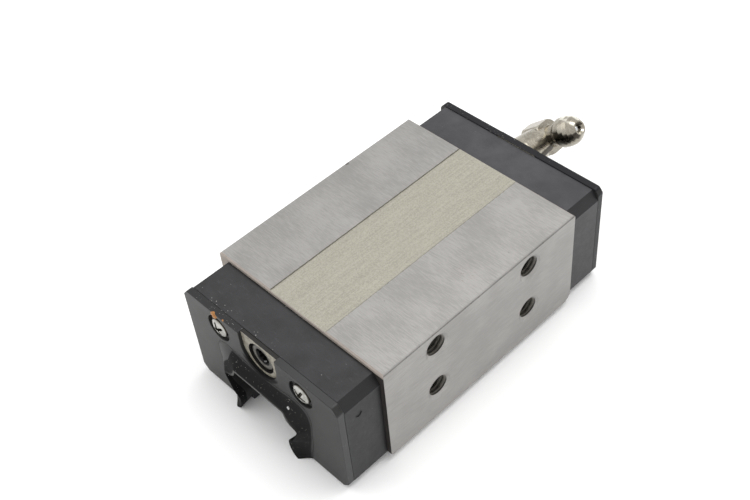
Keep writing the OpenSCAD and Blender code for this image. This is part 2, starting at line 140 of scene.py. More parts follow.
class Finish:
    """One Principled material, with short calls for the procedural nodes that feed it."""

    def __init__(self, name, **sockets):
        self.material = bpy.data.materials.new(name)
        self.material.use_nodes = True
        self.tree = self.material.node_tree
        self.shader = self.tree.nodes["Principled BSDF"]
        for socket, value in sockets.items():
            self.shader.inputs[socket.replace("_", " ")].default_value = value
        place = self.tree.nodes.new("ShaderNodeTexCoord")
        scaled = self.tree.nodes.new("ShaderNodeVectorMath")
        scaled.operation = "SCALE"
        self.tree.links.new(place.outputs["Object"], scaled.inputs[0])
        scaled.inputs["Scale"].default_value = 1 / MM
        self.place = scaled.outputs[0]
        parts = self.tree.nodes.new("ShaderNodeSeparateXYZ")
        self.tree.links.new(self.place, parts.inputs[0])
        self.x, self.y, self.z = parts.outputs

    def put(self, socket, value):
        """A link if value is an output, and a plain value otherwise."""
        if isinstance(value, bpy.types.NodeSocket):
            self.tree.links.new(value, socket)
        else:
            socket.default_value = value

    def math(self, operation, a, b=0.0):
        node = self.tree.nodes.new("ShaderNodeMath")
        node.operation = operation
        for socket, value in zip(node.inputs, (a, b)):
            self.put(socket, value)
        return node.outputs[0]

    def absolute(self, value):
        """The value without its sign."""
        return self.math("ABSOLUTE", value)

    def product(self, *values):
        out = values[0]
        for value in values[1:]:
            out = self.math("MULTIPLY", out, value)
        return out

    def either(self, *values):
        """The largest of some masks."""
        out = values[0]
        for value in values[1:]:
            out = self.math("MAXIMUM", out, value)
        return out

    def weighed(self, a, share_a, b, share_b):
        """Two values added, each times its share."""
        return self.math("ADD", self.product(a, share_a), self.product(b, share_b))

    def step(self, value, low, high):
        """0 below low and 1 above high, smooth between them. It falls instead if low is the larger."""
        node = self.tree.nodes.new("ShaderNodeMapRange")
        node.interpolation_type = "SMOOTHSTEP"
        falls = low > high
        self.put(node.inputs["Value"], value)
        node.inputs["From Min"].default_value = min(low, high)
        node.inputs["From Max"].default_value = max(low, high)
        node.inputs["To Min"].default_value = 1.0 if falls else 0.0
        node.inputs["To Max"].default_value = 0.0 if falls else 1.0
        return node.outputs[0]

    def band(self, value, middle, half, soft):
        """1 within half of the middle, falling to 0 over soft."""
        away = self.absolute(self.math("SUBTRACT", value, middle))
        return self.step(away, half + soft, half)

    def spread(self, value, low, high):
        """A 0 to 1 value taken to the range from low to high."""
        node = self.tree.nodes.new("ShaderNodeMapRange")
        self.put(node.inputs["Value"], value)
        node.inputs["To Min"].default_value = low
        node.inputs["To Max"].default_value = high
        return node.outputs[0]

    def stretched(self, scale, turn=(0, 0, 0)):
        """The place, scaled along each axis and turned by angles in degrees."""
        node = self.tree.nodes.new("ShaderNodeMapping")
        self.tree.links.new(self.place, node.inputs["Vector"])
        node.inputs["Scale"].default_value = scale
        node.inputs["Rotation"].default_value = [math.radians(a) for a in turn]
        return node.outputs[0]

    def noise(self, scale, detail=3.0, rough=0.55, where=None):
        """Cloudy noise between 0 and 1, with the scale in cells a millimetre."""
        node = self.tree.nodes.new("ShaderNodeTexNoise")
        self.tree.links.new(where or self.place, node.inputs["Vector"])
        node.inputs["Scale"].default_value = scale
        node.inputs["Detail"].default_value = detail
        node.inputs["Roughness"].default_value = rough
        return node.outputs[0]

    def specks(self, per_mm, radius, share):
        """1 on small round specks: per_mm cells a millimetre, of which about a share hold a speck."""
        node = self.tree.nodes.new("ShaderNodeTexVoronoi")
        self.tree.links.new(self.place, node.inputs["Vector"])
        node.inputs["Scale"].default_value = per_mm
        parts = self.tree.nodes.new("ShaderNodeSeparateColor")
        self.tree.links.new(node.outputs["Color"], parts.inputs[0])
        chosen = self.math("LESS_THAN", parts.outputs[0], share)
        inside = self.math("LESS_THAN", node.outputs["Distance"], self.product(parts.outputs[1], radius))
        return self.product(chosen, inside)

    def mix(self, factor, a, b):
        """The colour between a and b. A Mix node's inputs 6 and 7 and output 2 are its colour ones."""
        node = self.tree.nodes.new("ShaderNodeMix")
        node.data_type = "RGBA"
        self.put(node.inputs["Factor"], factor)
        self.put(node.inputs[6], self.colour(a))
        self.put(node.inputs[7], self.colour(b))
        return node.outputs[2]

    def blend(self, factor, a, b):
        """The number between a and b."""
        node = self.tree.nodes.new("ShaderNodeMix")
        self.put(node.inputs[0], factor)
        self.put(node.inputs[2], a)
        self.put(node.inputs[3], b)
        return node.outputs[0]

    @staticmethod
    def colour(value):
        """A colour with its alpha, or the output as it is."""
        return value if isinstance(value, bpy.types.NodeSocket) else (*value[:3], 1)

    def bump(self, height, strength, distance):
        """A normal bent by the height, with the distance in millimetres."""
        node = self.tree.nodes.new("ShaderNodeBump")
        self.put(node.inputs["Height"], height)
        node.inputs["Strength"].default_value = strength
        node.inputs["Distance"].default_value = distance * MM
        return node.outputs[0]

    def facing(self):
        """The three parts of the surface's own direction."""
        place = self.tree.nodes.new("ShaderNodeTexCoord")
        parts = self.tree.nodes.new("ShaderNodeSeparateXYZ")
        self.tree.links.new(place.outputs["Normal"], parts.inputs[0])
        return parts.outputs

    def near(self, point, radius, soft):
        """1 within radius of a point, falling to 0 over soft."""
        node = self.tree.nodes.new("ShaderNodeVectorMath")
        node.operation = "DISTANCE"
        self.tree.links.new(self.place, node.inputs[0])
        node.inputs[1].default_value = point
        return self.step(node.outputs["Value"], radius + soft, radius)

    def away(self, x, z, mirrored=False):
        """Distance in millimetres from an axis along the rail, or from the nearer of a mirrored pair."""
        across = self.absolute(self.x) if mirrored else self.x
        aside = self.math("SUBTRACT", across, x)
        up = self.math("SUBTRACT", self.z, z)
        return self.math("SQRT", self.math("ADD", self.product(aside, aside), self.product(up, up)))

    def done(self, colour, rough, normal, metal=None):
        """Feeds the shader and gives the finished material."""
        self.put(self.shader.inputs["Base Color"], self.colour(colour))
        self.put(self.shader.inputs["Roughness"], rough)
        self.put(self.shader.inputs["Normal"], normal)
        if metal is not None:
            self.put(self.shader.inputs["Metallic"], metal)
        return self.material


# ---------- finishes ----------

def ground_steel():
    """The block: two ground strips on top, an unground strip between them, dark holes and channel."""
    f = Finish("ground_steel", Specular_IOR_Level=0.45)
    facing = f.facing()
    on_top = f.step(facing[2], 0.75, 0.9)
    across = f.absolute(f.x)

    streaks_top = f.noise(1.0, 4, 0.6, f.stretched((0.55, 5.5, 1), (0, 0, 17)))
    streaks_side = f.noise(1.0, 4, 0.6, f.stretched((1, 0.35, 6.0)))
    streaks = f.blend(on_top, streaks_side, streaks_top)
    cloud = f.noise(0.12, 3, 0.5)
    fine = f.noise(9.0, 2, 0.6)
    tone = f.weighed(streaks, 0.55, cloud, 0.45)
    ground = f.mix(f.step(tone, 0.36, 0.66), (0.285, 0.277, 0.266), (0.368, 0.357, 0.345))

    grain = f.noise(3.6, 5, 0.75)
    drawn = f.noise(1.0, 3, 0.5, f.stretched((4.0, 0.12, 1)))
    rough_tone = f.weighed(grain, 0.75, drawn, 0.25)
    unground = f.mix(f.step(rough_tone, 0.34, 0.66), (0.27, 0.259, 0.214), (0.395, 0.379, 0.32))

    wander = f.product(f.math("SUBTRACT", f.noise(1.6, 3, 0.7), 0.5), 0.35)
    strip_edge = f.math("ADD", across, wander)
    in_strip = f.product(f.step(across, STRIP_HALF_W + 0.02, STRIP_HALF_W - 0.02), on_top)
    step_line = f.product(f.band(strip_edge, STRIP_HALF_W, 0.05, 0.09), on_top)
    colour = f.mix(in_strip, ground, unground)
    colour = f.mix(f.product(step_line, 0.62), colour, (0.10, 0.085, 0.06))

    # The end faces are tan, with a dark line along the end plate's top
    end_face = f.step(f.absolute(facing[1]), 0.5, 0.65)
    end_tone = f.mix(f.noise(1.2, 4, 0.7), (0.255, 0.217, 0.188), (0.40, 0.362, 0.325))
    plate_line = f.product(
        f.step(f.z, plate_high.z + 0.10, plate_high.z + 0.04),
        f.step(f.x, -PLATE_TOP_HALF_W - 0.4, -PLATE_TOP_HALF_W),
    )
    end_tone = f.mix(plate_line, end_tone, (0.02, 0.016, 0.014))
    colour = f.mix(end_face, colour, end_tone)

    # The top's long edges are darker
    tarnish = f.product(f.step(f.noise(2.2, 4, 0.7), 0.5, 0.72), 0.35)
    chamfer = f.product(
        f.step(across, BLOCK_HALF_W - 0.2, BLOCK_HALF_W - 0.12),
        f.band(f.absolute(facing[0]), 0.7, 0.15, 0.1),
        f.step(f.z, BLOCK_TOP - 0.4, BLOCK_TOP - 0.3),
    )
    colour = f.mix(f.product(chamfer, f.math("ADD", tarnish, 0.4)), colour, (0.05, 0.045, 0.04))

    # The holes, bores and channel are oxidised
    inside = f.product(
        f.step(across, BLOCK_HALF_W - 0.45, BLOCK_HALF_W - 0.8),
        f.step(f.z, 0.02, 0.2),
        f.step(f.z, BLOCK_TOP - 0.4, BLOCK_TOP - 0.6),
        f.step(f.absolute(f.y), BLOCK_END - 0.05, BLOCK_END - 0.2),
    )
    oxide = f.mix(f.noise(1.5, 4, 0.65), (0.10, 0.095, 0.085), (0.21, 0.195, 0.17))
    colour = f.mix(inside, colour, oxide)

    nick = f.product(
        f.near((0.3 - BLOCK_HALF_W, NICK_Y, BLOCK_TOP), 0.3, 0.35),
        f.step(f.noise(5.0), 0.35, 0.5),
    )
    stain = f.product(
        f.near((*STAIN, BLOCK_TOP), 1.2, 1.8),
        f.step(f.noise(1.0, 3, 0.7, f.stretched((0.9, 5.0, 1), (0, 0, 50))), 0.56, 0.62),
        f.step(f.noise(4.0), 0.45, 0.6),
    )
    colour = f.mix(f.product(nick, 0.85), colour, (0.05, 0.045, 0.04))
    colour = f.mix(f.product(stain, 0.6), colour, (0.20, 0.13, 0.11))
    pits = f.product(f.specks(1.5, 0.22, 0.03), on_top)
    colour = f.mix(f.product(pits, 0.35), colour, (0.16, 0.14, 0.12))

    height = f.blend(in_strip, f.math("ADD", streaks, f.product(fine, 0.25)), f.product(grain, 3.2))
    normal = f.bump(height, 0.35, 0.02)
    rough = f.blend(in_strip, f.spread(streaks, 0.34, 0.50), f.spread(grain, 0.55, 0.75))
    rough = f.blend(inside, rough, 0.5)
    rough = f.blend(end_face, rough, 0.65)
    metal = f.blend(end_face, f.blend(in_strip, 0.85, 0.45), 0.1)
    return f.done(colour, rough, normal, metal)


def end_plate_resin():
    """Black resin: darker on the sides and chamfers as painted shade, paler at the rear as painted light,
    dusty along the front edges.
    """
    f = Finish("end_plate_resin", Specular_IOR_Level=0.34)
    facing = f.facing()
    sideways = f.absolute(facing[0])
    cloud = f.noise(0.16, 4, 0.6)
    grain = f.noise(7.0, 3, 0.7)
    tone = f.weighed(cloud, 0.6, grain, 0.4)
    # Painted light: the rear plate is given a paler tone than the front one.
    front = f.mix(f.step(tone, 0.35, 0.65), (0.014, 0.014, 0.015), (0.028, 0.028, 0.030))
    rear = f.mix(f.step(tone, 0.35, 0.65), (0.032, 0.031, 0.034), (0.056, 0.054, 0.059))
    colour = f.mix(f.step(f.y, -1, 1), front, rear)
    # Painted shade: faces that look straight sideways are darkened.
    colour = f.mix(f.product(f.step(sideways, 0.9, 0.98), 0.45), colour, (0.008, 0.008, 0.009))
    rub = f.step(f.noise(1.0, 4, 0.65, f.stretched((0.5, 1.6, 0.9), (0, 0, 20))), 0.56, 0.78)
    colour = f.mix(f.product(rub, 0.3), colour, (0.07, 0.07, 0.074))
    # Painted shade: the chamfers, picked by the way they face, are darkened.
    chamfer = f.product(f.band(sideways, 0.81, 0.1, 0.08), f.step(facing[2], 0.3, 0.5))
    colour = f.mix(f.product(chamfer, 0.85), colour, (0.006, 0.006, 0.007))
    seam = f.step(f.absolute(f.y), BLOCK_END + 0.55, BLOCK_END + 0.1)
    colour = f.mix(f.product(seam, 0.8), colour, (0.006, 0.005, 0.005))
    swept = f.either(f.step(f.y, 1.6 - PLATE_END, 0.4 - PLATE_END), f.product(seam, 0.7))
    dust = f.product(f.specks(2.6, 0.26, 0.5), f.step(f.x, 9, -4), swept, f.step(facing[2], 0.8, 0.9))
    few = f.product(f.specks(1.3, 0.12, 0.12), 0.45)
    colour = f.mix(f.either(f.product(dust, 0.8), few), colour, (0.50, 0.49, 0.46))
    normal = f.bump(grain, 0.35, 0.03)
    rough = f.spread(f.noise(0.8, 4, 0.6), 0.36, 0.58)
    return f.done(colour, rough, normal)


def seal_rubber():
    """Dark rubber with a sheen: painted light on the face's left part, a darker rim at the rear, a dusty
    flare painted nearly black as shade.
    """
    f = Finish("seal_rubber", Specular_IOR_Level=0.2)
    cloud = f.noise(0.22, 4, 0.6)
    grain = f.noise(5.0, 3, 0.6)
    face = f.mix(f.step(cloud, 0.35, 0.68), (0.015, 0.015, 0.015), (0.027, 0.027, 0.026))
    # Painted light: the face is lighter on its left part.
    face = f.mix(f.step(f.x, -4, -19), face, (0.031, 0.031, 0.030))
    out = f.absolute(f.y)
    # Painted shade: the flare is painted nearly black, except its left end, which faces the light.
    flank = f.product(f.step(f.x, -8.0, -9.5), 0.75)
    flared = f.step(f.math("SUBTRACT", out, flank), SEAL_END + 0.02, SEAL_END + 0.12)
    top_rim = f.step(f.z, seal_high.z - 0.13, seal_high.z - 0.05)
    side_rim = f.step(f.absolute(f.x), seal_high.x - 0.12, seal_high.x - 0.04)
    rim = f.either(top_rim, side_rim)
    rim_tone = f.mix(f.step(f.x, -6, 12), (0.023, 0.023, 0.024), (0.043, 0.043, 0.044))
    rim_tone = f.mix(f.step(f.y, -1, 1), rim_tone, (0.009, 0.009, 0.011))
    colour = f.mix(rim, face, rim_tone)
    # Painted shade: a strip of face below the notch is painted nearly black as well.
    round_notch = f.step(f.away(0, NOTCH_Z), NOTCH_R + 1.1, NOTCH_R + 0.5)
    black = f.either(flared, f.product(round_notch, f.step(f.z, NOTCH_Z - 2.1, NOTCH_Z - 3.5)))
    colour = f.mix(black, colour, (0.003, 0.003, 0.003))
    # Painted highlight: a thin light line along the lip's edge.
    lip_highlight = f.product(f.step(out, LIP_END - 0.14, LIP_END - 0.05), f.step(f.z, 8.0, 10.0))
    colour = f.mix(f.product(lip_highlight, 0.6), colour, (0.16, 0.16, 0.155))
    fine_dust = f.product(f.specks(4.4, 0.22, 0.36), f.step(f.noise(0.7, 2, 0.5), 0.38, 0.58))
    dusty = f.either(flared, f.product(top_rim, f.step(f.x, 6, -3)))
    dust = f.either(f.product(fine_dust, dusty, 0.9), f.product(f.specks(1.6, 0.16, 0.2), 0.12))
    colour = f.mix(dust, colour, (0.62, 0.60, 0.57))
    dab = f.near((DAB[0], -SEAL_END, DAB[1]), 0.95, 0.02)
    crumb = f.near((CRUMB[0], -SEAL_END, CRUMB[1]), 0.16, 0.14)
    colour = f.mix(f.either(dab, crumb), colour, (0.33, 0.15, 0.045))
    glint = f.product(
        f.near((LIP_GLINT[0], -SEAL_END - 0.75, LIP_GLINT[1]), 0.16, 0.32),
        f.step(f.noise(3.5, 2, 0.5), 0.46, 0.54),
    )
    colour = f.mix(glint, colour, (0.75, 0.75, 0.75))
    normal = f.bump(grain, 0.25, 0.03)
    rough = f.blend(black, f.blend(rim, f.spread(cloud, 0.36, 0.5), 0.36), 0.8)
    return f.done(colour, rough, normal)


def core_paint():
    """The seal's plated core plate: stained, with painted shade round the port and round the screws, and
    dark along its top edge.
    """
    f = Finish("core_plate", Metallic=0.25, Specular_IOR_Level=0.4)
    dirt = f.noise(0.9, 5, 0.7)
    fine = f.noise(6.0, 3, 0.6)
    colour = f.mix(f.step(dirt, 0.36, 0.62), (0.16, 0.145, 0.115), (0.30, 0.28, 0.23))
    colour = f.mix(f.product(f.specks(2.0, 0.25, 0.3), 0.5), colour, (0.09, 0.07, 0.05))
    up = f.step(f.facing()[2], 0.5, 0.8)
    # Painted shade in the gaps round the port and round the screw heads; the top faces are darkened too.
    bore = f.step(f.away(0, PORT_Z), 3.35, 3.24)
    wells = f.step(f.away(SCREW_X, SCREW_Z, mirrored=True), 3.2, 3.0)
    colour = f.mix(f.either(up, bore, wells), colour, (0.012, 0.011, 0.010))
    return f.done(colour, f.spread(dirt, 0.35, 0.6), f.bump(fine, 0.3, 0.02))


def bright_steel(name, low, high, rough_low, rough_high, grain_scale=4.0, strength=0.15):
    """A metal with a cloudy tone and a fine grain."""
    f = Finish(name, Metallic=1.0)
    cloud = f.noise(grain_scale * 0.2, 4, 0.6)
    grain = f.noise(grain_scale, 4, 0.65)
    tone = f.weighed(cloud, 0.6, grain, 0.4)
    colour = f.mix(f.step(tone, 0.35, 0.65), low, high)
    normal = f.bump(grain, strength, 0.02)
    return f.done(colour, f.spread(cloud, rough_low, rough_high), normal)


def screw_steel():
    """Bright plated screws with painted shade in their cross recesses and on the rims of their heads."""
    f = Finish("screw_steel", Metallic=1.0)
    cloud = f.noise(1.0, 4, 0.6)
    grain = f.noise(6.0, 4, 0.65)
    colour = f.mix(f.step(cloud, 0.35, 0.65), (0.30, 0.295, 0.27), (0.47, 0.465, 0.44))
    away = f.away(SCREW_X, SCREW_Z, mirrored=True)
    dome = f.math("SUBTRACT", SCREW_SEAT + SCREW_HEAD_H, f.product(away, away, 0.5 / SCREW_DOME_R))
    below = f.math("SUBTRACT", dome, f.absolute(f.y))
    # Painted shade in the cross recess, by depth, and on the outer rim of each head.
    painted_shade = f.product(f.step(below, 0.015, 0.07), f.step(away, 1.9, 1.7))
    skirt = f.step(away, SCREW_HEAD_R - 0.3, SCREW_HEAD_R - 0.05)
    colour = f.mix(f.either(painted_shade, skirt), colour, (0.03, 0.026, 0.02))
    return f.done(colour, f.spread(cloud, 0.26, 0.42), f.bump(grain, 0.2, 0.02))


def plug_steel():
    """Dull set screw with its socket and outer rim painted black as shade, and one painted glint in the
    socket.
    """
    f = Finish("plug_steel", Metallic=0.8)
    cloud = f.noise(1.0, 4, 0.6)
    grain = f.noise(5.0, 4, 0.65)
    colour = f.mix(f.step(cloud, 0.35, 0.65), (0.055, 0.052, 0.047), (0.13, 0.125, 0.11))
    away = f.away(0, PORT_Z)
    # Painted shade: the socket and the outer rim are painted nearly black.
    inside = f.product(f.step(away, 1.95, 1.75), f.step(f.y, plug_low.y + 0.02, plug_low.y + 0.1))
    rim = f.step(away, PLUG_R - 0.4, PLUG_R - 0.15)
    colour = f.mix(f.either(inside, rim), colour, (0.008, 0.008, 0.009))
    # Painted highlight: one white glint in the socket.
    glint_at = (PLUG_GLINT[0], plug_low.y + 0.5, PLUG_GLINT[1])
    glint = f.product(f.near(glint_at, 0.3, 0.25), f.step(grain, 0.45, 0.55))
    colour = f.mix(glint, colour, (0.85, 0.85, 0.85))
    return f.done(colour, f.spread(cloud, 0.32, 0.5), f.bump(grain, 0.3, 0.02))


def nickel_plate():
    """Satin nickel of the grease nipple, with a painted highlight on its upper flank and painted shade on
    its lower one.
    """
    f = Finish("nickel_plate", Metallic=1.0)
    cloud = f.noise(0.6, 4, 0.6)
    grain = f.noise(3.0, 4, 0.65)
    tone = f.weighed(cloud, 0.6, grain, 0.4)
    colour = f.mix(f.step(tone, 0.35, 0.65), (0.27, 0.245, 0.20), (0.44, 0.41, 0.35))
    height = f.math("ADD", f.facing()[2], f.product(f.math("SUBTRACT", cloud, 0.5), 0.12))
    outward = f.step(f.y, NIPPLE_BEND_Y, NIPPLE_BEND_Y + 0.6)
    # Painted highlight on faces that look up, beyond the bend; painted shade on faces tilted well away from
    # up but not facing down.
    painted_highlight = f.product(f.band(height, 0.90, 0.05, 0.03), outward)
    painted_shade = f.product(f.step(height, 0.44, 0.34), f.step(height, -0.12, 0.02))
    colour = f.mix(f.product(painted_highlight, 0.85), colour, (0.88, 0.86, 0.76))
    colour = f.mix(f.product(painted_shade, 0.92), colour, (0.035, 0.030, 0.024))
    return f.done(colour, f.spread(cloud, 0.2, 0.34), f.bump(grain, 0.15, 0.02))


def moulded(name, low, high, rough_low, rough_high):
    """A pale moulded resin with a faint grain and cloudy tone."""
    f = Finish(name, Specular_IOR_Level=0.5)
    cloud = f.noise(0.3, 4, 0.6)
    grain = f.noise(4.5, 3, 0.6)
    tone = f.weighed(cloud, 0.7, grain, 0.3)
    colour = f.mix(f.step(tone, 0.35, 0.65), low, high)
    return f.done(colour, f.spread(grain, rough_low, rough_high), f.bump(grain, 0.2, 0.02))


finishes = {
    "ground_steel": ground_steel(),
    "end_plate_resin": end_plate_resin(),
    "seal_rubber": seal_rubber(),
    "core_plate": core_paint(),
    "screw_steel": screw_steel(),
    "plug_steel": plug_steel(),
    "nickel_plate": nickel_plate(),
    "spring_wire": bright_steel("spring_wire", (0.40, 0.40, 0.39), (0.55, 0.55, 0.54), 0.2, 0.3),
    "ball_steel": bright_steel("ball_steel", (0.56, 0.57, 0.58), (0.68, 0.69, 0.70), 0.08, 0.16, 2.0, 0.03),
    "retainer_resin": moulded("retainer_resin", (0.48, 0.46, 0.38), (0.62, 0.60, 0.52), 0.35, 0.5),
    "guide_resin": moulded("guide_resin", (0.44, 0.43, 0.38), (0.60, 0.58, 0.52), 0.35, 0.5),
}

for part in frame["record"]["subparts"]:
    mesh = cad_nodes[part["node"]].data
    mesh.materials.clear()
    mesh.materials.append(finishes[part["material_slot"]])
    mesh.shade_smooth()


# ---------- mesh kit, in millimetres ----------

def placed(name, data):
    """A new object in the scene."""
    thing = bpy.data.objects.new(name, data)
    bpy.context.scene.collection.objects.link(thing)
    return thing


def mesh_from(name, points, faces, material, weld=0.0):
    """A mesh whose faces all look outwards, with points closer than weld joined."""
    mesh = bpy.data.meshes.new(name)
    mesh.from_pydata([Vector(p) * MM for p in points], [], faces)
    made = bmesh.new()
    made.from_mesh(mesh)
    if weld:
        bmesh.ops.remove_doubles(made, verts=made.verts, dist=weld * MM)
    bmesh.ops.recalc_face_normals(made, faces=made.faces)
    made.to_mesh(mesh)
    made.free()
    mesh.materials.append(material)
    return mesh


def piece(name, points, faces, slot, node, crisp=40):
    """A mesh piece on the carriage body that stands for a CAD node."""
    mesh = mesh_from(name, points, faces, finishes[slot], weld=0.0005)
    mesh.shade_smooth()
    mesh.set_sharp_from_angle(angle=math.radians(crisp))
    thing = placed(name, mesh)
    thing.modifiers.new("flat_faces", "WEIGHTED_NORMAL").keep_sharp = True
    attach(thing, BODY)
    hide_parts(node)


def grid_faces(rows, columns, closed_rows=False, closed_columns=False):
    """Quads between rows * columns points that are listed row by row."""
    faces = []
    for i in range(rows if closed_rows else rows - 1):
        for j in range(columns if closed_columns else columns - 1):
            a, b = i * columns, (i + 1) % rows * columns
            k = (j + 1) % columns
            faces.append((a + j, a + k, b + k, b + j))
    return faces


def turned(profile, around, sides, shape):
    """A turned skin from a list of (radius, height). shape(radius, height, angle) gives each point's own."""
    points = []
    for r, h in profile:
        for k in range(sides):
            angle = 2 * math.pi * k / sides
            radius, height = shape(r, h, angle)
            points.append(around @ Vector((radius * math.cos(angle), radius * math.sin(angle), height)))
    return points, grid_faces(len(profile), sides, closed_columns=True)


def frame_at(place, axis, turn=0.0):
    """A frame whose Z runs along the axis, from the place, turned about it by an angle in degrees."""
    spin = Vector(axis).to_track_quat("Z", "Y").to_matrix().to_4x4()
    return Matrix.Translation(Vector(place)) @ spin @ Matrix.Rotation(math.radians(turn), 4, "Z")


def arc(centre, radius, start, end, steps):
    """Points on an arc, with the angles in degrees."""
    turns = [math.radians(start + (end - start) * i / steps) for i in range(steps + 1)]
    return [(centre[0] + radius * math.cos(t), centre[1] + radius * math.sin(t)) for t in turns]


def filleted(corners, steps=5):
    """An outline from (x, z, radius) corners, each rounded to its radius."""
    outline = []
    count = len(corners)
    for i, (x, z, radius) in enumerate(corners):
        here = Vector((x, z))
        before = (Vector(corners[i - 1][:2]) - here).normalized()
        after = (Vector(corners[(i + 1) % count][:2]) - here).normalized()
        if radius <= 0:
            outline.append(here)
            continue
        half = before.angle(after) / 2
        reach = radius / math.tan(half)
        middle = here + (before + after).normalized() * radius / math.sin(half)
        first, last = here + before * reach - middle, here + after * reach - middle
        for k in range(steps + 1):
            outline.append(middle + first.slerp(last, k / steps).normalized() * radius)
    return [(p[0], p[1]) for p in outline]


def rounded_line(points):
    """An open line with its corners cut, which keeps its two ends."""
    cut = [points[0]]
    for a, b in zip(points, points[1:]):
        cut.append(tuple(u * 0.75 + v * 0.25 for u, v in zip(a, b)))
        cut.append(tuple(u * 0.25 + v * 0.75 for u, v in zip(a, b)))
    return cut + [points[-1]]


def drawn_in(loop, distance):
    """A closed outline moved to its left by the distance, with sharp corners held back."""
    moved = []
    count = len(loop)
    for i, here in enumerate(loop):
        before = (Vector(here) - Vector(loop[i - 1])).normalized()
        after = (Vector(loop[(i + 1) % count]) - Vector(here)).normalized()
        left = Vector((-before.y - after.y, before.x + after.x))
        moved.append(Vector(here) + left * distance / max(1 + before.dot(after), 0.2))
    return moved


def turns_left(loop):
    """Whether a closed outline runs anticlockwise."""
    return sum(a[0] * b[1] - b[0] * a[1] for a, b in zip(loop, loop[1:] + loop[:1])) > 0


def sheet_from(outlines, y1, y2, edge):
    """A flat sheet from y1 to y2 with rounded edges. The first outline is its rim, the others its holes."""
    toward = math.copysign(edge, y2 - y1)
    levels = [
        (edge, y1), (edge * 0.3, y1 + toward * 0.3), (0, y1 + toward),
        (0, y2 - toward), (edge * 0.3, y2 - toward * 0.3), (edge, y2),
    ]
    points, faces = [], []
    caps = [[], []]
    for number, outline in enumerate(outlines):
        loop = list(outline) if turns_left(list(outline)) == (number == 0) else list(reversed(outline))
        start, count = len(points), len(loop)
        for inset, y in levels:
            points += [(p[0], y, p[1]) for p in drawn_in(loop, inset)]
        faces += [tuple(i + start for i in f) for f in grid_faces(len(levels), count, closed_columns=True)]
        for cap, level in zip(caps, (0, len(levels) - 1)):
            cap.append([start + level * count + i for i in range(count)])
    for cap in caps:
        order = [i for loop in cap for i in loop]
        flat = [[Vector((points[i][0], points[i][2], 0)) for i in loop] for loop in cap]
        faces += [tuple(order[i] for i in triangle) for triangle in tessellate_polygon(flat)]
    return points, faces


def joined(*parts):
    """Several (points, faces) pairs as one."""
    points, faces = [], []
    for more_points, more_faces in parts:
        start = len(points)
        points += list(more_points)
        faces += [tuple(i + start for i in face) for face in more_faces]
    return points, faces


# ---------- end seals ----------

def symmetric(half):
    """A whole outline from its right half, without the half's first point on the middle line."""
    return [(-x, z) for x, z in reversed(half[1:])] + list(half[1:])


def seal_profiles():
    """The right halves of the lip's root, edge and throat, from the middle of the arch to the foot."""
    root = [
        (0, 14.1), (4.2, 14.2), (7.4, 14.9), (9.8, 15.2), (11.6, 14.6), (12.5, 13.3), (12.7, 11.5),
        (12.6, 9.9), (12.4, 8.6), (12.3, 7.0), (12.1, 5.4), (11.9, 3.9), (11.7, 2.8), (11.4, 1.7),
        (11.2, 0.4), (FOOT_X, plate_low.z),
    ]
    edge = [
        (0, 11.0), (6.2, 11.0), *arc((9.3, 10.9), 2.55, 180, 270, 4), (9.9, 8.0), (9.9, 7.5), (9.0, 5.5),
        (8.1, 3.4), (7.0, 3.0), (6.75, 2.0), (6.9, 0.6), (7.6, -1.0), (8.6, -1.75),
    ]
    throat = [
        (0, 11.5), (6.4, 11.5), *arc((9.4, 11.2), 2.2, 180, 270, 4), (10.3, 8.45), (10.3, 7.4), (9.45, 5.5),
        (8.6, 3.85), (7.6, 3.4), (7.25, 2.2), (7.4, 0.5), (8.0, -0.7), (8.8, -2.6),
    ]
    return root, edge, throat


def grease_dab():
    """A dried dab of grease on the front seal's face, above the left screw."""
    profile = [(0.0001, 0.2), (0.3, 0.19), (0.52, 0.12), (0.64, 0.0)]
    profile += [(0.6, -0.1), (0.4, -0.16), (0.0001, -0.16)]

    def ragged(radius, height, angle):
        return radius * (1 + 0.16 * math.sin(3 * angle + 1) + 0.10 * math.sin(5 * angle)), height

    return turned(profile, frame_at((DAB[0], -SEAL_END, DAB[1]), (0, -1, 0)), 40, ragged)


def seal_sheet(side, top, corner, cut_x, cut_z):
    """The seal's flat sheet, notched over the grease port, with round recesses over the screws."""
    root = seal_profiles()[0]
    low = plate_low.z
    half_w = seal_high.x
    right = filleted([
        (FOOT_X, low, 0), (half_w - FOOT_CUT, low, 0.4), (half_w, low + FOOT_CUT, 0.4),
        (half_w, top - cut_z, corner), (half_w - cut_x, top, corner),
        (NOTCH_R, top, 0.25), (NOTCH_R, NOTCH_Z, 0),
    ])
    right += arc((0, NOTCH_Z), NOTCH_R, 0, -90, 12)
    outer = right + [(-x, z) for x, z in reversed(right[:-1])]
    inner = rounded_line(symmetric(root))
    recesses = [arc((x, SCREW_Z), RECESS_R, 0, 350, 35) for x in (-SCREW_X, SCREW_X)]
    return sheet_from([outer + inner[1:-1], *recesses], side * PLATE_END, side * SEAL_END, 0.14)


